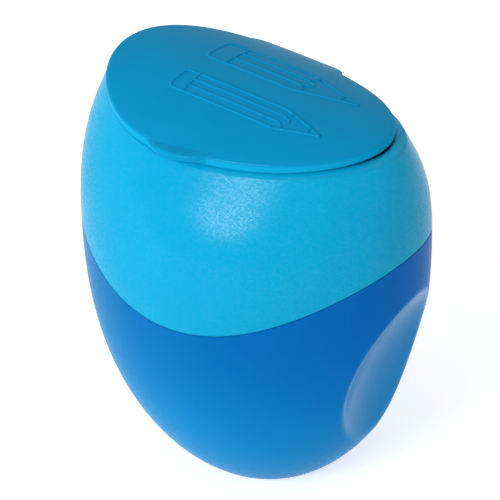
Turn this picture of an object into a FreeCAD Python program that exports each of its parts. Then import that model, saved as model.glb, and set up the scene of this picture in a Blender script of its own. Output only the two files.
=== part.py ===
import FreeCAD, Part
import math
import os
import re
import Sketcher

# Egg-shaped hand-held pencil sharpener: a shavings container, a lift-off head with two cutters, a flip lid.
# Frame: +Z up, origin in the middle of the flat base, X along the long axis, front towards -Y.

SIZES = {
    # outer egg, half sizes from its axis
    "girth_half_length": 28.95,
    "girth_half_width": 24.35,
    "girth_height": 43.8,
    "base_half_length": 12.0,
    "belly_power": 2.45,
    "belly_root": 1.765,
    "shoulder_end_power": 3.0,
    "shoulder_side_power": 2.1,
    "loft_margin": 1.3,
    "wall": 1.8,
    "floor_thickness": 2.0,
    # crowned lid plane: a long radius along X, a short one across, highest near the broad end
    "crown_top": 69.2,
    "crown_long_radius": 333.0,
    "crown_cross_radius": 36.0,
    "crown_shift": 21.5,
    # lid outline, two half ellipses that meet where it is widest
    "rim_left": 24.0,
    "rim_right": 23.9,
    "shoulder_right": 25.9,
    "rim_half_width": 16.8,
    "rim_shift": 6.2,
    "rim_ease": 0.45,
    "lid_thickness": 1.2,
    "lid_edge_round": 0.5,
    "lid_gap": 0.25,
    "skirt_inset": 4.2,
    "skirt_wall": 1.0,
    "skirt_height": 1.5,
    # thumb tab at the front and hinge at the back
    "tab_shift": 3.1,
    "thumb_half_width": 5.6,
    "thumb_reach": 1.3,
    "thumb_sag": 0.5,
    "thumb_rise": 0.7,
    "thumb_slope": 8.0,
    "thumb_root": 3.0,
    "thumb_thickness": 1.0,
    "hinge_shift": 3.35,
    "hinge_half_width": 8.55,
    "hinge_drop": 2.1,
    "hinge_sink": 0.3,
    "hinge_radius": 1.25,
    "barrel_half_length": 3.2,
    "ear_width": 2.4,
    "neck_bite": 1.15,
    "neck_top_angle": 106.0,
    "neck_low_angle": -66.0,
    "pin_radius": 0.6,
    "pin_length": 2.0,
    "pin_clearance": 0.05,
    "hinge_clearance": 0.3,
    "cover_reach": 0.55,
    "cover_corner": 2.2,
    "cover_step": 0.04,
    "relief_angle": 68.0,
    "arm_front": 0.9,
    "arm_back": 0.3,
    # arched seam between container and head, with the container's spigot inside the head
    "seam_radius": 33.5,
    "seam_crest": 47.6,
    "seam_gap": 0.2,
    "spigot_rise": 2.5,
    "spigot_root": 3.0,
    "spigot_wall": 1.2,
    "spigot_clearance": 0.6,
    # finger dimples at both ends of the container
    "dimple_radius": 30.1,
    "dimple_depth": 4.4,
    "dimple_height": 18.8,
    "dimple_offset": 1.2,
    "dimple_round": 1.6,
    # carrier plate snapped into the head
    "deck_height": 55.5,
    "deck_thickness": 2.0,
    "deck_clearance": 0.15,
    "snap_depth": 0.8,
    "snap_height": 1.2,
    "collar_height": 3.0,
    "collar_wall": 1.6,
    "socket_wall": 1.2,
    "socket_depth": 9.0,
    "socket_clearance": 0.1,
    # cutter wedges, bores are diameters
    "standard_x": 8.7,
    "standard_bore": 8.2,
    "standard_width": 15.5,
    "standard_back": 5.8,
    "standard_front": 6.4,
    "standard_length": 24.0,
    "standard_cone": 17.5,
    "jumbo_x": -10.6,
    "jumbo_bore": 11.5,
    "jumbo_width": 18.5,
    "jumbo_back": 7.6,
    "jumbo_front": 7.9,
    "jumbo_length": 27.0,
    "jumbo_cone": 21.5,
    "entry_depth": 3.0,
    "entry_clearance": 0.2,
    "tip_radius": 0.7,
    "cutter_bite": 0.35,
    "throat_width": 5.0,
    "throat_depth": 1.4,
    "grip_radius": 12.0,
    "grip_depth": 1.1,
    # blades and their screws
    "blade_thickness": 0.6,
    "blade_bevel": 1.3,
    "blade_gap": 0.5,
    "standard_blade_width": 7.0,
    "jumbo_blade_width": 8.3,
    "screw_head_radius": 2.1,
    "screw_head_height": 1.2,
    "screw_shank_radius": 1.15,
    "screw_length": 4.2,
    "screw_clearance": 0.1,
    "screw_share": 0.58,
    "slot_width": 0.6,
    "slot_depth": 0.6,
}

doc = FreeCAD.newDocument("sharpener")
sheet = doc.addObject("Spreadsheet::Sheet", "Sizes")
for row, (alias, value) in enumerate(SIZES.items(), start=1):
    sheet.set(f"A{row}", alias)
    sheet.set(f"B{row}", str(value))
    sheet.setAlias(f"B{row}", alias)
doc.recompute()

AXIS_X = FreeCAD.Vector(1, 0, 0)
AXIS_Y = FreeCAD.Vector(0, 1, 0)
AXIS_Z = FreeCAD.Vector(0, 0, 1)
FLAT = FreeCAD.Rotation()
ACROSS = FreeCAD.Rotation(FreeCAD.Vector(1, 1, 1), 120)
ALONG_X = FreeCAD.Rotation(AXIS_Y, 90)
ALONG_Y = FreeCAD.Rotation(AXIS_X, -90)


def linked(text):
    """Write a size's name as a link to its cell."""
    return re.sub(r"[a-z_]+", lambda m: f"Sizes.{m[0]}" if m[0] in SIZES else m[0], text)


def bind(item, **links):
    """Tie an object's properties to expressions; x, y and z are its place."""
    for name, text in links.items():
        path = f"Placement.Base.{name}" if name in ("x", "y", "z") else name
        item.setExpression(path, linked(text))
    return item


def primitive(kind, name, turn=FLAT, **links):
    item = doc.addObject(f"Part::{kind}", name)
    item.Placement.Rotation = turn
    return bind(item, **links)


def cut(name, base, tool):
    item = doc.addObject("Part::Cut", name)
    item.Base = base
    item.Tool = tool
    return item


def common(name, *shapes):
    item = doc.addObject("Part::MultiCommon", name)
    item.Shapes = list(shapes)
    return item


def fuse(name, *shapes):
    item = doc.addObject("Part::MultiFuse", name)
    item.Shapes = list(shapes)
    item.Refine = False
    return item


def dimension(sketch, name, constraint, text):
    index = sketch.addConstraint(constraint)
    sketch.renameConstraint(index, name)
    sketch.setExpression(f"Constraints.{name}", linked(text))


def half_ellipses(name, z, left, right, width, centre):
    """Closed outline of two half ellipses about one centre on the X axis."""
    sketch = doc.addObject("Sketcher::SketchObject", name)
    quarter = math.pi / 2
    seed = FreeCAD.Vector(1, 0, 0)
    sketch.addGeometry(Part.ArcOfEllipse(Part.Ellipse(seed, 30, 20), -quarter, quarter))
    sketch.addGeometry(Part.ArcOfEllipse(Part.Ellipse(seed, 25, 20), quarter, 3 * quarter))
    right_axis = sketch.GeometryCount
    sketch.exposeInternalGeometry(0)
    left_axis = sketch.GeometryCount
    sketch.exposeInternalGeometry(1)
    sketch.addConstraint([
        Sketcher.Constraint("Coincident", 0, 2, 1, 1),
        Sketcher.Constraint("Coincident", 0, 3, 1, 3),
        Sketcher.Constraint("PointOnObject", 0, 3, -1),
        Sketcher.Constraint("Horizontal", right_axis),
        Sketcher.Constraint("Horizontal", left_axis),
        Sketcher.Constraint("Vertical", 0, 3, 0, 1),
        Sketcher.Constraint("Vertical", 0, 3, 0, 2),
        Sketcher.Constraint("Vertical", 0, 3, 1, 2),
    ])
    dimension(sketch, "right", Sketcher.Constraint("Distance", right_axis, 60.0), f"2 * ({right})")
    dimension(sketch, "left", Sketcher.Constraint("Distance", left_axis, 50.0), f"2 * ({left})")
    dimension(sketch, "width", Sketcher.Constraint("DistanceY", 0, 1, 0, 2, 40.0), f"2 * ({width})")
    dimension(sketch, "centre", Sketcher.Constraint("DistanceX", -1, 1, 0, 3, 1.0), centre)
    return bind(sketch, z=z)


def outline(name, points, turn=FLAT, **place):
    """Closed polygon whose corners are pairs of expressions."""
    sketch = doc.addObject("Sketcher::SketchObject", name)
    sketch.Placement.Rotation = turn
    count = len(points)
    corners = [FreeCAD.Vector(10 * math.cos(a), 10 * math.sin(a), 0)
               for a in (2 * math.pi * i / count for i in range(count))]
    for i in range(count):
        sketch.addGeometry(Part.LineSegment(corners[i], corners[(i + 1) % count]))
    for i in range(count):
        sketch.addConstraint(Sketcher.Constraint("Coincident", i, 2, (i + 1) % count, 1))
    for i, (across, up) in enumerate(points):
        x, y, _ = corners[i]
        dimension(sketch, f"across_{i}", Sketcher.Constraint("DistanceX", -1, 1, i, 1, x), across)
        dimension(sketch, f"up_{i}", Sketcher.Constraint("DistanceY", -1, 1, i, 1, y), up)
    return bind(sketch, **place)


def extrude(name, sketch, length, both_ways=False):
    item = doc.addObject("Part::Extrusion", name)
    item.Base = sketch
    item.DirMode = "Normal"
    item.Solid = True
    item.Symmetric = both_ways
    return bind(item, LengthFwd=length)


def crown_height(x, y, depth):
    """Height of the crowned lid plane, a given depth below its top face."""
    tube = f"sqrt((crown_cross_radius - ({depth}))^2 - ({y})^2)"
    ring = f"(crown_long_radius - crown_cross_radius + {tube})"
    return f"(crown_top - crown_long_radius + sqrt({ring}^2 - ({x} + crown_shift)^2))"


def crown(name, depth):
    """Everything below the crowned plane: a slice of a large upright ring."""
    return primitive("Torus", name, turn=ALONG_Y, Radius1="crown_long_radius - crown_cross_radius",
                     Radius2=f"crown_cross_radius - ({depth})", x="-crown_shift",
                     z="crown_top - crown_long_radius")


RIM_DEPTH = "lid_thickness + lid_gap"
SIDE_RIM = crown_height("-tab_shift", "rim_half_width", RIM_DEPTH)
LEFT_RIM = crown_height("-rim_left", "0", RIM_DEPTH)
RIGHT_RIM = crown_height("rim_right", "0", RIM_DEPTH)
LOFT_TOP = f"({LEFT_RIM} + loft_margin)"


def belly(z, floor):
    """Share of the girth that is left at a height below it."""
    share = "(1 - (base_half_length / girth_half_length)^belly_root)"
    rise = f"((girth_height - ({z})) / (girth_height - ({floor})))"
    return f"(1 - {share} * {rise}^belly_power)^(1 / belly_root)"


def shoulder(z, rim, power):
    """Share of the step from girth to rim that is done at a height above the girth."""
    return f"((({z}) - girth_height) / ({rim} - girth_height))^{power}"


def shoulder_section(z, inset):
    """Left, right, width and centre of the egg's outline at a height above the girth.

    Past the rim's lowest point the width shrinks more slowly, so that the shell stays under the lid.
    """
    share = shoulder(z, SIDE_RIM, "shoulder_side_power")
    side = f"(min({share}; 1) + rim_ease * max({share} - 1; 0))"
    left_end = f"(girth_half_length - rim_left) * {shoulder(z, LEFT_RIM, 'shoulder_end_power')}"
    right_end = f"(girth_half_length - shoulder_right) * {shoulder(z, RIGHT_RIM, 'shoulder_end_power')}"
    width = f"girth_half_width - (girth_half_width - rim_half_width) * {side} - ({inset})"
    shift = f"rim_shift * min({share}; 1)"
    left = f"girth_half_length - {left_end} - ({inset}) - {shift}"
    right = f"girth_half_length - {right_end} - ({inset}) + {shift}"
    return left, right, width, f"-{shift}"


BELLY_STEPS = (0, 0.034, 0.1, 0.27, 0.52, 0.78)
SHOULDER_STEPS = (0, 0.3, 0.55, 0.8, 1)


def egg(name, inset, floor):
    """Egg with its flat base at the floor, drawn in from the outer egg by the inset."""
    sections = []
    for step in BELLY_STEPS:
        z = f"({floor}) + {step} * (girth_height - ({floor}))"
        length = f"(girth_half_length - ({inset})) * {belly(z, floor)}"
        width = f"(girth_half_width - ({inset})) * {belly(z, floor)}"
        sections.append((z, length, length, width, "0"))
    for step in SHOULDER_STEPS:
        z = f"girth_height + {step} * ({LOFT_TOP} - girth_height)"
        sections.append((z, *shoulder_section(z, inset)))
    loft = doc.addObject("Part::Loft", name)
    loft.Sections = [half_ellipses(f"{name}_{i}", z, *section) for i, (z, *section) in enumerate(sections)]
    loft.Solid = True
    return loft


def rim_prism(name, inset):
    """Upright prism over the lid's outline, drawn in by the inset."""
    left = f"rim_left - rim_shift - ({inset})"
    right = f"rim_right + rim_shift - ({inset})"
    width = f"rim_half_width - ({inset})"
    sketch = half_ellipses(f"{name}_outline", "girth_height", left, right, width, "-rim_shift")
    return extrude(name, sketch, "crown_top")


def oval_prism(name, inset):
    """Upright oval prism through the seam, drawn in from the girth by the inset."""
    length = f"girth_half_length - ({inset})"
    sketch = half_ellipses(f"{name}_outline", "girth_height / 2", length, length,
                           f"girth_half_width - ({inset})", "0")
    return extrude(name, sketch, "girth_height")


def arch(name, rise):
    """Everything below the seam's arch, raised by the given rise."""
    return primitive("Cylinder", name, turn=ALONG_X, Radius=f"seam_radius + ({rise})",
                     Height="3 * girth_half_length", x="-1.5 * girth_half_length",
                     z="seam_crest - seam_radius")


def slab(name, bottom, height):
    """Wide round slab, for what is bounded by two level planes."""
    return primitive("Cylinder", name, Radius="2 * girth_half_length", Height=height, z=bottom)


def x_cylinder(name, radius, middle, half_length, y, z):
    return primitive("Cylinder", name, turn=ALONG_X, Radius=radius, Height=f"2 * ({half_length})",
                     x=f"({middle}) - ({half_length})", y=y, z=z)


# Shells of the egg

outer = egg("outer_egg", "0", "0")
inner = egg("inner_egg", "wall", "floor_thickness")
THUMB_X = "-tab_shift"
HINGE_X = "-hinge_shift"
HINGE_Z = f"({crown_height(HINGE_X, 'rim_half_width', 'lid_thickness')} - hinge_drop)"
HINGE_Y = f"({shoulder_section(HINGE_Z, '0')[2]} - hinge_sink)"
DIMPLE_X = f"(girth_half_length * {belly('dimple_height', '0')} - dimple_depth + dimple_radius)"


def dimples(name, extra):
    """Balls that dent both ends of the container, grown by the extra."""
    ends = [primitive("Sphere", f"{name}_{side}", Radius=f"dimple_radius + ({extra})",
                      x=f"{sign} * {DIMPLE_X}", y="dimple_offset", z="dimple_height")
            for side, sign in (("left", -1), ("right", 1))]
    return fuse(name, *ends)


def rounded(name, blank, edges, radius):
    """Round some edges of a blank, found on its finished shape."""
    item = doc.addObject("Part::Fillet", name)
    item.Base = blank
    item.Edges = [(index, radius, radius) for index, edge in enumerate(blank.Shape.Edges, start=1)
                  if any(edge.isSame(other) for other in edges)]
    return item


def round_top_edge(name, blank):
    """Round the curved edge around a blank's top face."""
    doc.recompute()
    top_face = max(blank.Shape.Faces, key=lambda face: face.CenterOfMass.z)
    edges = [edge for edge in top_face.Edges if not isinstance(edge.Curve, Part.Line)]
    return rounded(name, blank, edges, float(sheet.lid_edge_round))


def round_dimples(name, blank):
    """Soften the rim around each dimple."""
    doc.recompute()
    dents = [face for face in blank.Shape.Faces if isinstance(face.Surface, Part.Sphere)]
    edges = [edge for face in dents for edge in face.Edges]
    return rounded(name, blank, edges, float(sheet.dimple_round))


def make_container():
    """Lower shell with finger dimples and the spigot that the head slips over."""
    seam = arch("container_seam", "0")
    root = arch("spigot_root_arch", "-spigot_root")
    dented = round_dimples("softly_dented_egg", cut("dented_egg", outer, dimples("dimples", "0")))
    lower = common("lower_egg", dented, seam)
    plug = common("spigot_plug", oval_prism("spigot_prism", "wall + spigot_clearance"),
                  arch("spigot_top_arch", "spigot_rise"))
    blank = fuse("container_blank", lower, cut("spigot_blank", plug, root))
    belly_space = common("belly_space", cut("dented_space", inner, dimples("dimple_backs", "wall")), root)
    mouth = cut("mouth_space", oval_prism("mouth_prism", "wall + spigot_clearance + spigot_wall"),
                arch("mouth_floor_arch", "-2 * spigot_root"))
    return cut("shavings_container", blank, fuse("container_space", belly_space, mouth))


def make_head():
    """Upper shell, open at both ends, with a snap ring for the carrier and ears at the hinge's notch."""
    upper = cut("upper_egg", outer, arch("head_seam", "seam_gap"))
    topped = common("topped_egg", upper, crown("rim_crown", RIM_DEPTH))
    ring_z = "deck_height - snap_height - deck_clearance"
    snap_outline = half_ellipses("snap_outline", f"{ring_z} - snap_height",
                                 *shoulder_section("deck_height", "wall + snap_depth"))
    snap_hole = extrude("snap_hole", snap_outline, "3 * snap_height")
    ring = cut("snap_ring", slab("snap_slab", ring_z, "snap_height"), snap_hole)
    shell = cut("bare_head", topped, cut("head_space", inner, ring))
    ear_offset = "barrel_half_length + hinge_clearance + ear_width / 2"
    neck_root = "-neck_bite"
    lean = "hinge_radius * cos(neck_top_angle)"
    neck = [(neck_root, f"-{lean}"), (lean, "hinge_radius * sin(neck_top_angle)"),
            ("hinge_radius * cos(neck_low_angle)", "hinge_radius * sin(neck_low_angle)"), (lean, neck_root)]
    ears = []
    for side, sign in (("left", -1), ("right", 1)):
        middle = f"{HINGE_X} + {sign} * ({ear_offset})"
        eye = x_cylinder(f"ear_{side}", "hinge_radius", middle, "ear_width / 2", HINGE_Y, HINGE_Z)
        neck_outline = outline(f"ear_neck_{side}_outline", neck, ACROSS, x=middle, y=HINGE_Y, z=HINGE_Z)
        ears += [eye, extrude(f"ear_neck_{side}", neck_outline, "ear_width", both_ways=True)]
    room = "hinge_radius + hinge_clearance"
    notch_half_length = "(barrel_half_length + hinge_clearance)"
    groove = x_cylinder("barrel_groove", room, HINGE_X, notch_half_length, HINGE_Y, HINGE_Z)
    notch = primitive("Box", "hinge_notch", Length=f"2 * {notch_half_length}", Width=f"2 * ({room})",
                      Height="hinge_drop + lid_thickness", x=f"{HINGE_X} - {notch_half_length}",
                      y=f"{HINGE_Y} - ({room})", z=HINGE_Z)
    bore = x_cylinder("pin_bore", "pin_radius + pin_clearance", HINGE_X,
                      "barrel_half_length + pin_length + 2 * hinge_clearance", HINGE_Y, HINGE_Z)
    return cut("head_shell", fuse("eared_head", shell, *ears), fuse("hinge_cuts", groove, notch, bore))


def make_thumb_tab():
    """Flared lip at the front of the lid: a disc's rim between two gently sloping planes."""
    sagitta = "(thumb_reach + thumb_sag)"
    radius = f"((thumb_half_width^2 + {sagitta}^2) / (2 * {sagitta}))"
    tip_y = "(rim_half_width + thumb_reach)"
    disc = primitive("Cylinder", "thumb_disc", Radius=radius, Height="crown_top",
                     x=THUMB_X, y=f"{radius} - {tip_y}", z="girth_height")
    tip_z = f"({crown_height(THUMB_X, tip_y, '0')} + thumb_rise)"
    ends = [(f"-{tip_y} - thumb_reach", f"{tip_z} - thumb_reach * tan(thumb_slope)"),
            ("thumb_root - rim_half_width", f"{tip_z} + (thumb_reach + thumb_root) * tan(thumb_slope)")]
    lip = ends + [(y, f"{z} - thumb_thickness") for y, z in reversed(ends)]
    layer = extrude("thumb_layer", outline("thumb_layer_outline", lip, ACROSS, x=THUMB_X),
                    "4 * thumb_half_width", both_ways=True)
    return round_top_edge("thumb_rounded", common("thumb_blank", disc, layer))


def make_hinge_cover():
    """Tab behind the lid that follows its crown a hair lower, with round corners."""
    tip_y = f"({HINGE_Y} + cover_reach)"
    depth = f"({tip_y} - rim_half_width + cover_corner)"
    inner = "(hinge_half_width - cover_corner)"
    tall = {"z": "girth_height", "Height": "crown_top"}
    wide = primitive("Box", "cover_wide", Length="2 * hinge_half_width", Width=f"{depth} - cover_corner",
                     x=f"{HINGE_X} - hinge_half_width", y=f"{tip_y} - {depth}", **tall)
    long = primitive("Box", "cover_long", Length=f"2 * {inner}", Width=depth,
                     x=f"{HINGE_X} - {inner}", y=f"{tip_y} - {depth}", **tall)
    corners = [primitive("Cylinder", f"cover_corner_{side}", Radius="cover_corner",
                         x=f"{HINGE_X} + {sign} * {inner}", y=f"{tip_y} - cover_corner", **tall)
               for side, sign in (("left", -1), ("right", 1))]
    prism = fuse("cover_prism", wide, long, *corners)
    return round_top_edge("cover_rounded", common("cover_blank", prism, crown("cover_top", "cover_step")))


def make_lid():
    """Crowned plate with a locating skirt, a thumb tab in front and a hinge barrel behind."""
    blank = common("lid_blank", rim_prism("lid_prism", "0"), crown("lid_top", "0"))
    plate = round_top_edge("lid_rounded", blank)
    plate = cut("lid_plate", plate, crown("lid_under", "lid_thickness"))
    tab_under = crown("tab_under", "lid_thickness - cover_step")
    hinge_cover = cut("hinge_cover", make_hinge_cover(), tab_under)
    plates = fuse("tabbed_plate", plate, hinge_cover, cut("thumb_tab", make_thumb_tab(), tab_under))
    skirt_wall = cut("skirt_wall", rim_prism("skirt_outer", "skirt_inset"),
                     rim_prism("skirt_inner", "skirt_inset + skirt_wall"))
    skirt = cut("skirt", common("skirt_blank", skirt_wall, crown("skirt_top", "lid_thickness / 2")),
                crown("skirt_under", "lid_thickness + skirt_height"))
    eye_room = x_cylinder("eye_room", "hinge_radius + hinge_clearance", HINGE_X,
                          "barrel_half_length + ear_width + 2 * hinge_clearance", HINGE_Y, HINGE_Z)
    past_tip = f"{HINGE_Y} + 2 * cover_reach"
    below_tip = [(HINGE_Y, HINGE_Z), (HINGE_Y, f"{HINGE_Z} - hinge_drop"),
                 (past_tip, f"{HINGE_Z} - hinge_drop"),
                 (past_tip, f"{HINGE_Z} + 2 * cover_reach * tan(relief_angle)")]
    swing_room = extrude("swing_room", outline("swing_room_outline", below_tip, ACROSS, x=HINGE_X),
                         "4 * hinge_half_width", both_ways=True)
    sides = [f"({HINGE_Y} - arm_front)", f"({HINGE_Y} + arm_back)"]
    web = [(y, HINGE_Z) for y in sides]
    web += [(y, crown_height(HINGE_X, y, "lid_thickness / 2")) for y in reversed(sides)]
    arm = extrude("hinge_arm", outline("hinge_arm_outline", web, ACROSS, x=HINGE_X),
                  "2 * barrel_half_length", both_ways=True)
    barrel = x_cylinder("hinge_barrel", "hinge_radius", HINGE_X, "barrel_half_length", HINGE_Y, HINGE_Z)
    pins = x_cylinder("hinge_pins", "pin_radius", HINGE_X, "barrel_half_length + pin_length",
                      HINGE_Y, HINGE_Z)
    relieved = cut("relieved_plates", plates, fuse("hinge_room", eye_room, swing_room))
    return fuse("lid", relieved, skirt, arm, barrel, pins)


def make_carrier():
    """Plate inside the head with a collared hole and a socket for each cutter."""
    plate = common("deck_plate", egg("deck_egg", "wall + deck_clearance", "floor_thickness"),
                   slab("deck_slab", "deck_height", "deck_thickness"))
    solids = [plate]
    bores = []
    for kind in ("standard", "jumbo"):
        x = f"{kind}_x"
        solids.append(primitive("Cylinder", f"{kind}_collar", Radius=f"{kind}_bore / 2 + collar_wall",
                                Height="deck_thickness + collar_height", x=x, z="deck_height"))
        bores.append(primitive("Cylinder", f"{kind}_deck_bore", Radius=f"{kind}_bore / 2",
                               Height="2 * (deck_thickness + collar_height)", x=x,
                               z="deck_height - deck_thickness"))
        side = f"({kind}_width / 2 + socket_clearance)"
        back = f"({kind}_back + socket_clearance)"
        front = f"-{kind}_front"
        u_shape = [(f"-{side} - socket_wall", front), (f"-{side}", front), (f"-{side}", back), (side, back),
                   (side, front), (f"{side} + socket_wall", front),
                   (f"{side} + socket_wall", f"{back} + socket_wall"),
                   (f"-{side} - socket_wall", f"{back} + socket_wall")]
        solids.append(extrude(f"{kind}_socket", outline(f"{kind}_socket_outline", u_shape, x=x,
                                                        z="deck_height - socket_depth"),
                              "socket_depth + deck_thickness / 2"))
    return cut("cutter_carrier", fuse("carrier_blank", *solids), fuse("carrier_bores", *bores))


def cone_mouth(kind):
    """Radius of the wedge's bore at its top, a little wider than the hole in the carrier above it."""
    return f"({kind}_bore / 2 + entry_clearance)"


def slope(kind):
    return f"(({cone_mouth(kind)} - tip_radius) / {kind}_cone)"


SHOULDER_Z = "(deck_height - entry_depth)"


def face_y(kind):
    """Where the blade face starts, at the wedge's shoulder."""
    return f"(cutter_bite - {cone_mouth(kind)})"


def make_wedge(kind):
    """Wedge block with a conical bore that breaks through its slanting blade face."""
    bottom = f"(deck_height - {kind}_length)"
    profile = [(f"{kind}_back", "deck_height"), (f"-{kind}_front", "deck_height"),
               (f"-{kind}_front", SHOULDER_Z), (face_y(kind), SHOULDER_Z),
               (f"{face_y(kind)} + ({kind}_length - entry_depth) * {slope(kind)}", bottom),
               (f"{kind}_back", bottom)]
    block = extrude(f"{kind}_block", outline(f"{kind}_profile", profile, ACROSS, x=f"{kind}_x"),
                    f"{kind}_width", both_ways=True)
    entry = primitive("Cylinder", f"{kind}_entry", Radius=cone_mouth(kind), Height="2 * entry_depth",
                      x=f"{kind}_x", z=SHOULDER_Z)
    cone = primitive("Cone", f"{kind}_cone_bore", Radius1="tip_radius", Radius2=cone_mouth(kind),
                     Height=f"{kind}_cone", x=f"{kind}_x", z=f"{SHOULDER_Z} - {kind}_cone")
    throat_front = f"{face_y(kind)} - throat_depth"
    throat_shape = [("0", f"{face_y(kind)} + throat_depth"), ("-throat_width", face_y(kind)),
                    ("-throat_width", throat_front), ("0", throat_front)]
    throat = doc.addObject("Part::Extrusion", f"{kind}_throat")
    throat.Base = outline(f"{kind}_throat_outline", throat_shape, x=f"{kind}_x", z=SHOULDER_Z)
    throat.DirMode = "Custom"
    throat.Dir = FreeCAD.Vector(0, 0.2, -1)
    throat.Solid = True
    bind(throat, LengthFwd=f"({kind}_length - entry_depth) * sqrt(1 + {slope(kind)}^2) + throat_depth")
    throat.setExpression("Dir.y", linked(slope(kind)))
    grips = [primitive("Cylinder", f"{kind}_grip_{side}", turn=ALONG_Y, Radius="grip_radius",
                       Height=f"4 * {kind}_back",
                       x=f"{kind}_x + {sign} * ({kind}_width / 2 - grip_depth + grip_radius)",
                       y=f"-2 * {kind}_back", z=f"{bottom} + ({kind}_length - socket_depth) / 2")
             for side, sign in (("left", -1), ("right", 1))]
    pilot = on_face(kind, f"{kind}_pilot", "-screw_length")
    return cut(f"wedge_{kind}", block, fuse(f"{kind}_cuts", entry, cone, throat, pilot, *grips))


def tilt(kind, item):
    """Lay an item made flat on XY onto the wedge's blade face, its Y axis up the slope."""
    item.Placement.Rotation = FreeCAD.Rotation(AXIS_X, 90)
    item.setExpression("Placement.Rotation.Angle", linked(f"90 deg + atan({slope(kind)})"))
    return bind(item, x=f"{kind}_x", y=face_y(kind), z=SHOULDER_Z)


def face_length(kind):
    return f"(({kind}_length - entry_depth) * sqrt(1 + {slope(kind)}^2))"


def screw_spot(kind):
    """Place of the blade screw on the face, across and up the slope."""
    return f"{kind}_blade_width * screw_share", f"-{face_length(kind)} / 2"


def on_face(kind, name, depth):
    """Round hole for the screw, square to the blade face."""
    across, up = screw_spot(kind)
    hole = primitive("Cylinder", f"{name}_drill", Radius="screw_shank_radius + screw_clearance",
                     Height="2 * screw_length", x=across, y=up, z=depth)
    wrap = doc.addObject("Part::Compound", name)
    wrap.Links = [hole]
    return tilt(kind, wrap)


def make_blade(kind):
    """Flat blade with one bevelled edge along the wedge's slot."""
    width = f"{kind}_blade_width"
    section = [("0", "0"), (width, "0"), (width, "blade_thickness"), ("blade_bevel", "blade_thickness")]
    stand = FreeCAD.Rotation(AXIS_X, 90)
    bar = extrude(f"{kind}_blade_bar", outline(f"{kind}_blade_section", section, stand, y="-blade_gap"),
                  f"{face_length(kind)} - 2 * blade_gap")
    across, up = screw_spot(kind)
    hole = primitive("Cylinder", f"{kind}_blade_hole", Radius="screw_shank_radius + screw_clearance",
                     Height="4 * blade_thickness", x=across, y=up, z="-blade_thickness")
    return tilt(kind, cut(f"blade_{kind}", bar, hole))


def make_screw(kind):
    """Slotted screw that clamps the blade."""
    across, up = screw_spot(kind)
    half = [("0", "-screw_length"), ("screw_shank_radius", "-screw_length"),
            ("screw_shank_radius", "0"), ("screw_head_radius", "0"),
            ("screw_head_radius", "screw_head_height"), ("0", "screw_head_height")]
    turned = doc.addObject("Part::Revolution", f"{kind}_screw_turned")
    turned.Source = outline(f"{kind}_screw_half", half, FreeCAD.Rotation(AXIS_X, 90))
    turned.Axis = AXIS_Z
    turned.Solid = True
    bind(turned, x=across, y=up, z="blade_thickness")
    slot = primitive("Box", f"{kind}_screw_slot", Length="2 * screw_head_radius", Width="slot_width",
                     Height="2 * slot_depth", x=f"{across} - screw_head_radius", y=f"{up} - slot_width / 2",
                     z="blade_thickness + screw_head_height - slot_depth")
    return tilt(kind, cut(f"{kind}_screw", turned, slot))


def make_screws():
    group = doc.addObject("Part::Compound", "blade_screws")
    group.Links = [make_screw(kind) for kind in ("standard", "jumbo")]
    return group


nodes = [make_container(), make_head(), make_lid(), make_carrier()]
nodes += [make_wedge(kind) for kind in ("standard", "jumbo")]
nodes += [make_blade(kind) for kind in ("standard", "jumbo")]
nodes.append(make_screws())
doc.recompute()

for item in doc.Objects:
    if "Invalid" in item.State or "Error" in item.State:
        raise RuntimeError(f"{item.Name} failed: {item.State}")
for node in nodes:
    if node.Shape.isNull() or not node.Shape.isValid():
        raise RuntimeError(f"{node.Label} has no valid shape")

os.makedirs("parts", exist_ok=True)
for node in nodes:
    node.Shape.exportStep(f"parts/{node.Label}.step")
    box = node.Shape.optimalBoundingBox()
    print(node.Label, len(node.Shape.Solids), round(node.Shape.Volume, 1),
          [round(v, 2) for v in (box.XMin, box.YMin, box.ZMin, box.XMax, box.YMax, box.ZMax)])
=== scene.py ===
import math

import bpy
from mathutils import Matrix, Vector


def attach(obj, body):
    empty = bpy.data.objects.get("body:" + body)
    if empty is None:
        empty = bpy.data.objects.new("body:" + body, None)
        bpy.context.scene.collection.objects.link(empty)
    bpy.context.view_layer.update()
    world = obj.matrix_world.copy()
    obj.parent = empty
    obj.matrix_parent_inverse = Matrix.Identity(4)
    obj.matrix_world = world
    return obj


# Egg-shaped hand-held pencil sharpener: two moulded shells, a flip lid and a pair of wedge cutters.

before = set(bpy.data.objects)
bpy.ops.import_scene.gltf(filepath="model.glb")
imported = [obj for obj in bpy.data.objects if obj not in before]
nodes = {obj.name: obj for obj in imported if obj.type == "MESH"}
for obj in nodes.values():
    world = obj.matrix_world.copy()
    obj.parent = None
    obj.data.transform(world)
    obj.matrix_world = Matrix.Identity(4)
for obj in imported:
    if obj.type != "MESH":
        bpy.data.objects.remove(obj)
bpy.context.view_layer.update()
MM = 0.001


class Net:
    """A node tree that grows by expressions."""

    def __init__(self, tree):
        self.tree = tree
        self.tree.nodes.clear()

    def add(self, kind, settings=None, sockets=None, output=0):
        """Make a node: its settings first, then the values or links of its sockets."""
        node = self.tree.nodes.new(kind)
        for name, value in (settings or {}).items():
            setattr(node, name, value)
        for key, value in (sockets or {}).items():
            if isinstance(value, Wire):
                self.tree.links.new(value.socket, node.inputs[key])
            else:
                node.inputs[key].default_value = value
        if not node.outputs:
            return None
        return Wire(self, node.outputs[output])

    def math(self, operation, *terms):
        return self.add("ShaderNodeMath", {"operation": operation}, dict(enumerate(terms)))

    def mix_colour(self, factor, first, second):
        """Blend two colours; the colour sockets of a Mix node are its inputs 6 and 7."""
        return self.add("ShaderNodeMix", {"data_type": "RGBA"}, {0: factor, 6: first, 7: second}, output=2)


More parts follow.
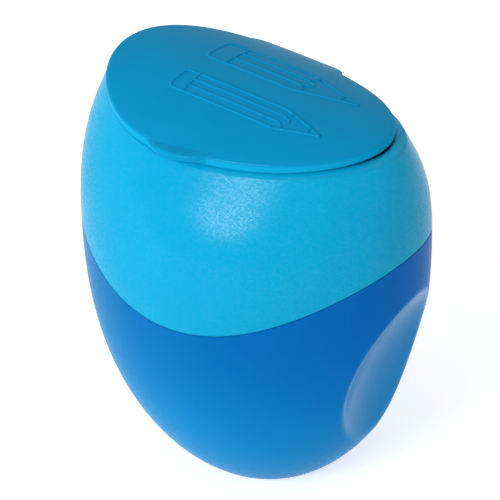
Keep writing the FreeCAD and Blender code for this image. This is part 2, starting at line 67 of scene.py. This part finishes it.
class Wire:
    """A socket's value in an expression; each operator adds a Math node."""

    def __init__(self, net, socket):
        self.net = net
        self.socket = socket

    def __add__(self, other):
        return self.net.math("ADD", self, other)

    def __radd__(self, other):
        return self.net.math("ADD", other, self)

    def __sub__(self, other):
        return self.net.math("SUBTRACT", self, other)

    def __rsub__(self, other):
        return self.net.math("SUBTRACT", other, self)

    def __mul__(self, other):
        return self.net.math("MULTIPLY", self, other)

    def __rmul__(self, other):
        return self.net.math("MULTIPLY", other, self)

    def other(self, name):
        """Another output of the same node."""
        return Wire(self.net, self.socket.node.outputs[name])


# Tools for the materials

NOISE_LOW = 0.3
NOISE_HIGH = 0.7
ROUGHNESS_SWING = 0.08


def surface(name, **constants):
    """A new material with a Principled shader whose constant sockets are set."""
    material = bpy.data.materials.new(name)
    material.use_nodes = True
    net = Net(material.node_tree)
    shader = net.add("ShaderNodeBsdfPrincipled", None, constants)
    net.add("ShaderNodeOutputMaterial", None, {"Surface": shader})
    return material, net, shader.socket.node


def feed(net, shader, **links):
    """Link wires to the shader's sockets; an underscore stands for a space."""
    for name, wire in links.items():
        net.tree.links.new(wire.socket, shader.inputs[name.replace("_", " ")])


def place(net, scale=(1, 1, 1)):
    """Object coordinates, stretched along an axis where a finish has a direction."""
    coordinates = net.add("ShaderNodeTexCoord").other("Object")
    return net.add("ShaderNodeMapping", None, {"Vector": coordinates, "Scale": scale})


def noise(net, where, scale, detail=2.0):
    return net.add("ShaderNodeTexNoise", None, {"Vector": where, "Scale": scale, "Detail": detail})


def spread(net, value, low, high):
    """Map a noise value from its middle range to the given limits."""
    return net.add("ShaderNodeMapRange", {"clamp": True},
                   {"Value": value, "From Min": NOISE_LOW, "From Max": NOISE_HIGH,
                    "To Min": low, "To Max": high})


def smooth(net, value, low, high, start=0.0, end=1.0):
    """Go softly from start to end while the value goes from low to high."""
    return net.add("ShaderNodeMapRange", {"interpolation_type": "SMOOTHSTEP"},
                   {"Value": value, "From Min": low, "From Max": high, "To Min": start, "To Max": end})


def grain(net, where, scale, strength, depth, **under):
    """Fine bumps, on the surface itself or over the normal that is given."""
    return net.add("ShaderNodeBump", None,
                   {"Strength": strength, "Distance": depth, "Height": noise(net, where, scale), **under})


# Plastics: each blue has a deeper shade for its faint clouds of pigment

PLASTIC = {"Specular IOR Level": 0.01, "Coat Roughness": 0.2}
SATIN = {**PLASTIC, "Specular IOR Level": 0.003}
MILKY = {**SATIN, "Coat IOR": 1.25, "Subsurface Weight": 0.5,
         "Subsurface Radius": (0.1, 0.7, 1.0), "Subsurface Scale": 6 * MM}
SHELL_BLUES = ((0.0, 0.425, 0.735, 1), (0.0, 0.405, 0.71, 1))
# The crown's deeper blue is painted shade: the lid is the shell's plastic, and its top only gets less
# light.
CROWN_PAINTED_SHADE_BLUES = ((0.0, 0.33, 0.645, 1), (0.0, 0.315, 0.625, 1))
CARRIER_BLUES = ((0.0, 0.24, 0.45, 1), (0.0, 0.225, 0.43, 1))
JUMBO_END_BLUES = ((0.0, 0.195, 0.49, 1), (0.0, 0.185, 0.47, 1))
STANDARD_END_BLUES = ((0.0, 0.165, 0.595, 1), (0.0, 0.155, 0.575, 1))
# The foot's paler blue is painted light that shines through the thin wall near the floor.
FOOT_PAINTED_LIGHT_BLUE = (0.0, 0.325, 0.755, 1)
CLOUD_SCALE = 90.0
GRAIN_SCALE = 3000.0
GRAIN_DEPTH = 0.03 * MM
SPARKLE_SCALE = 2500.0
SPARKLE_LOW = 0.4
SPARKLE_HIGH = 0.6
SPARKLE_SHARE = 0.6
EDGE_SAMPLES = 6


def clouded(net, where, colour, deep):
    """A faint cloud of pigment between two shades."""
    return net.mix_colour(spread(net, noise(net, where, CLOUD_SCALE), 0.0, 1.0), deep, colour)


def finish_plastic(net, shader, where, colour, gloss, roughness, grain_strength, edge_round):
    """A gloss that sparkles on a fine moulded grain, with softly rounded edges."""
    soft_edges = net.add("ShaderNodeBevel", {"samples": EDGE_SAMPLES}, {"Radius": edge_round})
    sparkle = noise(net, where, SPARKLE_SCALE)
    swing = SPARKLE_SHARE * grain_strength
    feed(net, shader,
         Base_Color=colour,
         Roughness=spread(net, sparkle, roughness - ROUGHNESS_SWING, roughness + ROUGHNESS_SWING),
         Coat_Weight=gloss * smooth(net, sparkle, SPARKLE_LOW, SPARKLE_HIGH, 1 - swing, 1 + swing),
         Normal=grain(net, where, GRAIN_SCALE, grain_strength, GRAIN_DEPTH, Normal=soft_edges))


SEAM_LEVEL = 50 * MM
SEAM_ROUND = 0.2 * MM
RIM_LEVEL = 56 * MM
RIM_ROUND = 1.0 * MM


def shell_finish():
    """Light blue, with a rounder edge at the rim under the lid than at the seam."""
    material, net, shader = surface("shell_plastic", **PLASTIC)
    where = place(net)
    height = net.add("ShaderNodeSeparateXYZ", None, {0: where}).other("Z")
    finish_plastic(net, shader, where, clouded(net, where, *SHELL_BLUES),
                   gloss=0.22, roughness=0.27, grain_strength=0.8,
                   edge_round=smooth(net, height, SEAM_LEVEL, RIM_LEVEL, SEAM_ROUND, RIM_ROUND))
    return material


CROWN = {"Crown Top": 69.2 * MM, "Long Radius": 333 * MM, "Cross Radius": 36 * MM, "Crown Shift": 21.5 * MM}
LIP_START = 0.15 * MM
LIP_END = 0.4 * MM


def crown_height(net, x, y, top, long_radius, cross_radius, shift):
    """Height of the lid's crown over a point: an arc across the lid, swept along a long arc."""
    ring = long_radius - cross_radius + net.math("SQRT", cross_radius * cross_radius - y * y)
    along = x + shift
    return top - long_radius + net.math("SQRT", ring * ring - along * along)


def lid_finish():
    """The shell's plastic with painted shade: a deeper blue on the crown, where less light falls on the
    top, and the shell's blue on its edge and underneath.
    """
    material, net, shader = surface("lid_plastic", **SATIN)
    where = place(net)
    spot = net.add("ShaderNodeSeparateXYZ", None, {0: where})
    drop = crown_height(net, spot, spot.other("Y"), *CROWN.values()) - spot.other("Z")
    # Painted shade: the crown is darker than the edge and underside, as if less light fell on it.
    crown = clouded(net, where, *CROWN_PAINTED_SHADE_BLUES)
    colour = net.mix_colour(smooth(net, drop, LIP_START, LIP_END), crown, SHELL_BLUES[0])
    finish_plastic(net, shader, where, colour,
                   gloss=0.12, roughness=0.32, grain_strength=0.2, edge_round=0.25 * MM)
    return material


def carrier_finish():
    """A dull darker blue."""
    material, net, shader = surface("carrier_plastic", **PLASTIC)
    where = place(net)
    finish_plastic(net, shader, where, clouded(net, where, *CARRIER_BLUES),
                   gloss=0.15, roughness=0.45, grain_strength=0.4, edge_round=0.3 * MM)
    return material


DIMPLE_RADIUS = 30.1 * MM
DIMPLE_CENTRE = (51.25 * MM, 1.2 * MM, 18.8 * MM)
DIMPLE_EDGE = 0.8 * MM
# The dimples' paler blue is a painted reflection of the white room, beside their higher gloss.
DIMPLE_PAINTED_REFLECTION = 0.5
DIMPLE_GLOSS = 0.72
WALL_GLOSS = 0.2
JUMBO_END = -26 * MM
STANDARD_END = 30 * MM
DEEP_LEVEL = 40 * MM


def container_finish():
    """Milky blue that changes along the container; paler towards the foot as painted light shining through
    the thin wall, and paler in the finger dimples as a painted reflection of the white room.
    """
    material, net, shader = surface("container_plastic", **MILKY)
    where = place(net)
    spot = net.add("ShaderNodeSeparateXYZ", None, {0: where})
    folded = net.add("ShaderNodeCombineXYZ", None,
                     {"X": net.math("ABSOLUTE", spot), "Y": spot.other("Y"), "Z": spot.other("Z")})
    reach = net.add("ShaderNodeVectorMath", {"operation": "DISTANCE"}, {0: folded, 1: DIMPLE_CENTRE},
                    output=1)
    wall = smooth(net, reach, DIMPLE_RADIUS, DIMPLE_RADIUS + DIMPLE_EDGE)
    deep_blue = net.mix_colour(smooth(net, spot, JUMBO_END, STANDARD_END),
                               clouded(net, where, *JUMBO_END_BLUES),
                               clouded(net, where, *STANDARD_END_BLUES))
    # Painted light: the blue pales towards the foot below the deep level, and in the dimples.
    depth = smooth(net, spot.other("Z"), 0.0, DEEP_LEVEL) * (1 - DIMPLE_PAINTED_REFLECTION + DIMPLE_PAINTED_REFLECTION * wall)
    finish_plastic(net, shader, where, net.mix_colour(depth, FOOT_PAINTED_LIGHT_BLUE, deep_blue),
                   gloss=DIMPLE_GLOSS - (DIMPLE_GLOSS - WALL_GLOSS) * wall,
                   roughness=0.3, grain_strength=0.1, edge_round=0.6 * MM)
    return material


shell_plastic = shell_finish()
lid_plastic = lid_finish()
carrier_plastic = carrier_finish()
container_plastic = container_finish()


# Metals

METAL_DETAIL = 4.0
METAL_DEPTH = 0.02 * MM


def metal(name, colour, deep, roughness, stroke, scale, strength):
    """Worked metal: fine lines along one direction, with the roughness following them."""
    material, net, shader = surface(name, Metallic=1.0)
    where = place(net, stroke)
    lines = noise(net, where, scale, METAL_DETAIL)
    feed(net, shader,
         Base_Color=net.mix_colour(spread(net, lines, 0.0, 1.0), deep, colour),
         Roughness=spread(net, lines, roughness + ROUGHNESS_SWING, roughness - ROUGHNESS_SWING),
         Normal=grain(net, where, scale, strength, METAL_DEPTH))
    return material


wedge_metal = metal("wedge_metal", colour=(0.46, 0.47, 0.48, 1), deep=(0.38, 0.39, 0.40, 1),
                    roughness=0.45, stroke=(1, 1, 0.03), scale=4000.0, strength=0.4)
blade_steel = metal("blade_steel", colour=(0.29, 0.30, 0.33, 1), deep=(0.21, 0.22, 0.25, 1),
                    roughness=0.2, stroke=(1, 0.03, 0.03), scale=6000.0, strength=0.3)
screw_steel = metal("screw_steel", colour=(0.44, 0.44, 0.42, 1), deep=(0.34, 0.34, 0.32, 1),
                    roughness=0.3, stroke=(1, 1, 1), scale=3000.0, strength=0.2)

FINISHES = {
    "shavings_container": container_plastic,
    "head_shell": shell_plastic,
    "lid": lid_plastic,
    "cutter_carrier": carrier_plastic,
    "wedge_standard": wedge_metal,
    "wedge_jumbo": wedge_metal,
    "blade_standard": blade_steel,
    "blade_jumbo": blade_steel,
    "blade_screws": screw_steel,
}
for name, finish in FINISHES.items():
    nodes[name].data.materials.clear()
    nodes[name].data.materials.append(finish)


# Pieces grown along guide lines

def guide_mesh(name, strokes):
    """A mesh of bare lines, one for each stroke of points."""
    points = []
    edges = []
    for stroke in strokes:
        first = len(points)
        points += stroke
        edges += [(i, i + 1) for i in range(first, len(points) - 1)]
    mesh = bpy.data.meshes.new(name)
    mesh.from_pydata(points, edges, [])
    return mesh


def grown(name, guide, material, sizes, build):
    """A plain mesh piece that a node tree with named sizes makes along a guide."""
    tree = bpy.data.node_groups.new(name, "GeometryNodeTree")
    tree.interface.new_socket("Guide", in_out="INPUT", socket_type="NodeSocketGeometry")
    sockets = {label: tree.interface.new_socket(label, in_out="INPUT", socket_type="NodeSocketFloat")
               for label in sizes}
    tree.interface.new_socket("Piece", in_out="OUTPUT", socket_type="NodeSocketGeometry")
    net = Net(tree)
    given = net.add("NodeGroupInput")
    whole = net.add("GeometryNodeRealizeInstances", None, {"Geometry": build(net, given)})
    painted = net.add("GeometryNodeSetMaterial", None, {"Geometry": whole, "Material": material})
    net.add("NodeGroupOutput", None, {"Piece": painted})
    pattern = bpy.data.objects.new(f"{name}_guide", guide)
    bpy.context.scene.collection.objects.link(pattern)
    modifier = pattern.modifiers.new(name, "NODES")
    modifier.node_group = tree
    for label, value in sizes.items():
        modifier[sockets[label].identifier] = value
    mesh = bpy.data.meshes.new_from_object(pattern.evaluated_get(bpy.context.evaluated_depsgraph_get()))
    pattern.modifiers.remove(modifier)
    bpy.data.objects.remove(pattern)
    mesh.name = name
    piece = bpy.data.objects.new(name, mesh)
    bpy.context.scene.collection.objects.link(piece)
    return piece


# Raised line drawing of a thick and a thin pencil on the lid, one for each hole

RELIEF = {"Line Radius": 0.24 * MM, "Line Sink": 0.06 * MM}
LINE_CUTS = 7
BEAD_SIDES = 10
PENCIL_END = -10.5 * MM
PENCIL_TIP = 15.5 * MM
THICK_MIDDLE = 5.7 * MM
THICK_HALF_WIDTH = 3.4 * MM
THIN_MIDDLE = -4.9 * MM
THIN_HALF_WIDTH = 2.3 * MM

# Shares of a pencil's half width, and the lead's share of its point
POINT_LENGTH = 3.0
BAND_LENGTH = 1.1
END_CORNER = 0.35
FLAT_EDGES = (-1 / 3, 1 / 3)
FLAT_MIDDLES = (-2 / 3, 0, 2 / 3)
SCALLOP_DEPTH = 0.6
SCALLOP_FADE = 0.3
LEAD_SHARE = 0.3
CORNER_DEGREES = range(0, 91, 18)
SCALLOP_STEPS = 8


def pencil_strokes(middle, half_width):
    """Outline, flats, scalloped collar and point of a six-sided pencil that lies along X."""
    shoulder = PENCIL_TIP - POINT_LENGTH * half_width
    band = PENCIL_END + BAND_LENGTH * half_width
    corner = END_CORNER * half_width
    side = [(shoulder, half_width)]
    for angle in map(math.radians, CORNER_DEGREES):
        side.append((PENCIL_END + corner * (1 - math.sin(angle)),
                     half_width - corner * (1 - math.cos(angle))))
    strokes = [side + [(x, -y) for x, y in reversed(side)]]
    strokes.append([(band, half_width), (band, -half_width)])
    for share in FLAT_EDGES:
        strokes.append([(band, share * half_width), (shoulder, share * half_width)])
    for share in FLAT_MIDDLES:
        bulge = (SCALLOP_DEPTH - SCALLOP_FADE * abs(share)) * half_width
        steps = [step / SCALLOP_STEPS for step in range(SCALLOP_STEPS + 1)]
        strokes.append([(shoulder + bulge * math.sin(math.pi * t), (share + (2 * t - 1) / 3) * half_width)
                        for t in steps])
    for sign in (-1, 1):
        strokes.append([(shoulder, sign * half_width), (PENCIL_TIP, 0)])
    lead_x = PENCIL_TIP - LEAD_SHARE * (PENCIL_TIP - shoulder)
    strokes.append([(lead_x, LEAD_SHARE * half_width), (lead_x, -LEAD_SHARE * half_width)])
    return [[(x, middle + y, 0) for x, y in stroke] for stroke in strokes]


def crowned_lines(net, given):
    """Beads that lie on the crown of the lid along the guide's lines."""
    lines = net.add("GeometryNodeMeshToCurve", None, {"Mesh": given})
    lines = net.add("GeometryNodeSubdivideCurve", None, {"Curve": lines, "Cuts": LINE_CUTS})
    spot = net.add("ShaderNodeSeparateXYZ", None, {0: net.add("GeometryNodeInputPosition")})
    across = spot.other("Y")
    height = crown_height(net, spot, across, *[given.other(label) for label in CROWN])
    raised = net.add("ShaderNodeCombineXYZ", None,
                     {"X": spot, "Y": across, "Z": height - given.other("Line Sink")})
    lines = net.add("GeometryNodeSetPosition", None, {"Geometry": lines, "Position": raised})
    bead = net.add("GeometryNodeCurvePrimitiveCircle", None,
                   {"Resolution": BEAD_SIDES, "Radius": given.other("Line Radius")})
    beads = net.add("GeometryNodeCurveToMesh", None,
                    {"Curve": lines, "Profile Curve": bead, "Fill Caps": True})
    return net.add("GeometryNodeSetShadeSmooth", None, {0: beads})


pencil_lines = guide_mesh("pencil_lines", pencil_strokes(THICK_MIDDLE, THICK_HALF_WIDTH)
                          + pencil_strokes(THIN_MIDDLE, THIN_HALF_WIDTH))
lid_relief = grown("lid_relief", pencil_lines, lid_plastic, {**CROWN, **RELIEF}, crowned_lines)
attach(lid_relief, "lid")


# Grip ridges in the hollow sides of the wedges

RIDGES = {"Pitch": 0.9 * MM, "Ridge Radius": 0.3 * MM}
RIDGE_SIDES = 8
RIDGE_REACH = math.radians(19)
RIDGE_MARGIN = 0.5 * MM
ARC_STEPS = 12
GRIP_RADIUS = 12.0 * MM
GRIP_DEPTH = 1.1 * MM
SHOULDER_HEIGHT = 52.5 * MM
WEDGES = {
    "standard": {"x": 8.7 * MM, "half_width": 7.75 * MM, "back": 5.8 * MM, "grip_height": 39.0 * MM,
                 "face": -3.95 * MM, "slope": 3.6 / 17.5},
    "jumbo": {"x": -10.6 * MM, "half_width": 9.25 * MM, "back": 7.6 * MM, "grip_height": 37.5 * MM,
              "face": -5.6 * MM, "slope": 5.25 / 21.5},
}


def ridge_guide():
    """An arc along each hollow side, with the front and back ends of the ridges as attributes."""
    strokes = []
    fronts = []
    backs = []
    angles = [RIDGE_REACH * (2 * step / ARC_STEPS - 1) for step in range(ARC_STEPS + 1)]
    for wedge in WEDGES.values():
        for sign in (-1, 1):
            hollow = wedge["x"] + sign * (wedge["half_width"] - GRIP_DEPTH + GRIP_RADIUS)
            stroke = []
            for angle in angles:
                height = wedge["grip_height"] + GRIP_RADIUS * math.sin(angle)
                stroke.append((hollow - sign * GRIP_RADIUS * math.cos(angle), 0, height))
                fronts.append(wedge["face"] + wedge["slope"] * (SHOULDER_HEIGHT - height) + RIDGE_MARGIN)
                backs.append(wedge["back"] - RIDGE_MARGIN)
            strokes.append(stroke)
    mesh = guide_mesh("ridge_arcs", strokes)
    for label, values in (("front", fronts), ("back", backs)):
        mesh.attributes.new(label, "FLOAT", "POINT").data.foreach_set("value", values)
    return mesh


def hollow_ridges(net, given):
    """Round ridges side by side along the guide's arcs, each from its front end to its back end."""
    arcs = net.add("GeometryNodeMeshToCurve", None, {"Mesh": given})
    spots = net.add("GeometryNodeResampleCurve", {"mode": "LENGTH"},
                    {"Curve": arcs, "Length": given.other("Pitch")})
    front = net.add("GeometryNodeInputNamedAttribute", {"data_type": "FLOAT"}, {"Name": "front"})
    back = net.add("GeometryNodeInputNamedAttribute", {"data_type": "FLOAT"}, {"Name": "back"})
    middle = net.add("ShaderNodeCombineXYZ", None, {"Y": 0.5 * (front + back)})
    spots = net.add("GeometryNodeSetPosition", None, {"Geometry": spots, "Offset": middle})
    ridge = net.add("GeometryNodeMeshCylinder", None,
                    {"Vertices": RIDGE_SIDES, "Radius": given.other("Ridge Radius"), "Depth": 1.0})
    size = net.add("ShaderNodeCombineXYZ", None, {"X": 1.0, "Y": 1.0, "Z": back - front})
    return net.add("GeometryNodeInstanceOnPoints", None,
                   {"Points": spots, "Instance": ridge, "Rotation": (math.pi / 2, 0, 0), "Scale": size})


wedge_ridges = grown("wedge_ridges", ridge_guide(), wedge_metal, RIDGES, hollow_ridges)
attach(wedge_ridges, "head")


# Camera at the photograph's angle

AZIMUTH = math.radians(35.40)
ELEVATION = math.radians(34.99)
ROLL = math.radians(-1.06)
DISTANCE = 420 * MM
NEAREST = 10 * MM
AIM = Vector((0, 0, 30 * MM))
FOCAL_PIXELS = 2623.8
FRAME_PIXELS = 500
SENSOR = 36.0
AIM_RIGHT = 6.48 / FOCAL_PIXELS
AIM_DOWN = 40.91 / FOCAL_PIXELS


def make_camera():
    """Look at the aim from the photograph's side, with the aim a little off the frame's middle."""
    level = Vector((math.cos(AZIMUTH), math.sin(AZIMUTH), 0))
    back = Vector((math.sin(AZIMUTH) * math.cos(ELEVATION), -math.cos(AZIMUTH) * math.cos(ELEVATION),
                   math.sin(ELEVATION)))
    up = back.cross(level)
    right = math.cos(ROLL) * level + math.sin(ROLL) * up
    rise = math.cos(ROLL) * up - math.sin(ROLL) * level
    axis_back = (back + AIM_RIGHT * right - AIM_DOWN * rise).normalized()
    axis_right = (right - right.dot(axis_back) * axis_back).normalized()
    axis_up = axis_back.cross(axis_right)
    lens = bpy.data.cameras.new("camera")
    lens.sensor_width = SENSOR
    lens.lens = FOCAL_PIXELS / FRAME_PIXELS * SENSOR
    lens.clip_start = NEAREST
    camera = bpy.data.objects.new("camera", lens)
    turn = Matrix((axis_right, axis_up, axis_back)).transposed()
    camera.matrix_world = Matrix.Translation(AIM + DISTANCE * back) @ turn.to_4x4()
    bpy.context.scene.collection.objects.link(camera)
    bpy.context.scene.camera = camera


make_camera()


# Studio: a white room, a pale floor and soft lamps

ROOM_LIGHT = 0.47
FLOOR_LIFT = 0.6
FLOOR_HALF = 3.0
PAPER_GREY = (0.85, 0.85, 0.85, 1)


def seen_rays(net):
    """One for rays that look at the room straight or in a gloss."""
    path = net.add("ShaderNodeLightPath")
    return net.math("MINIMUM", path.other("Is Camera Ray") + path.other("Is Glossy Ray"), 1.0)


def make_room():
    """White where it is seen, and softer as a light."""
    world = bpy.data.worlds.new("room")
    world.use_nodes = True
    net = Net(world.node_tree)
    strength = ROOM_LIGHT + (1 - ROOM_LIGHT) * seen_rays(net)
    sky = net.add("ShaderNodeBackground", None, {"Color": (1, 1, 1, 1), "Strength": strength})
    net.add("ShaderNodeOutputWorld", None, {"Surface": sky})
    bpy.context.scene.world = world


def make_floor():
    """Pale paper that is lifted towards white where it is seen, and keeps the shadow."""
    mesh = bpy.data.meshes.new("floor")
    corners = [(-1, -1), (1, -1), (1, 1), (-1, 1)]
    mesh.from_pydata([(FLOOR_HALF * x, FLOOR_HALF * y, 0) for x, y in corners], [], [(0, 1, 2, 3)])
    floor = bpy.data.objects.new("floor", mesh)
    bpy.context.scene.collection.objects.link(floor)
    material = bpy.data.materials.new("floor_paper")
    material.use_nodes = True
    net = Net(material.node_tree)
    paper = net.add("ShaderNodeBsdfDiffuse", None, {"Color": PAPER_GREY})
    lift = net.add("ShaderNodeEmission", None, {"Strength": FLOOR_LIFT * seen_rays(net)})
    both = net.add("ShaderNodeAddShader", None, {0: paper, 1: lift})
    net.add("ShaderNodeOutputMaterial", None, {"Surface": both})
    mesh.materials.append(material)


def soft_lamp(name, direction, distance, size, power, in_gloss=False):
    """A round soft box; one that is not in the gloss lights only the body colours."""
    data = bpy.data.lights.new(name, "AREA")
    data.shape = "DISK"
    data.size = size
    data.energy = power
    lamp = bpy.data.objects.new(name, data)
    towards = Vector(direction).normalized()
    lamp.location = AIM + distance * towards
    lamp.rotation_mode = "QUATERNION"
    lamp.rotation_quaternion = towards.to_track_quat("Z", "Y")
    lamp.visible_glossy = in_gloss
    bpy.context.scene.collection.objects.link(lamp)


make_room()
make_floor()
soft_lamp("key_lamp", direction=(-0.055, -0.875, 0.475), distance=0.6, size=0.24, power=1.55, in_gloss=True)
soft_lamp("left_lamp", direction=(-1.0, -0.7, 0.02), distance=0.7, size=0.6, power=2.05)
soft_lamp("right_lamp", direction=(1.0, 0.15, 0.15), distance=0.7, size=0.6, power=0.45)

bpy.context.scene.view_settings.view_transform = "Standard"
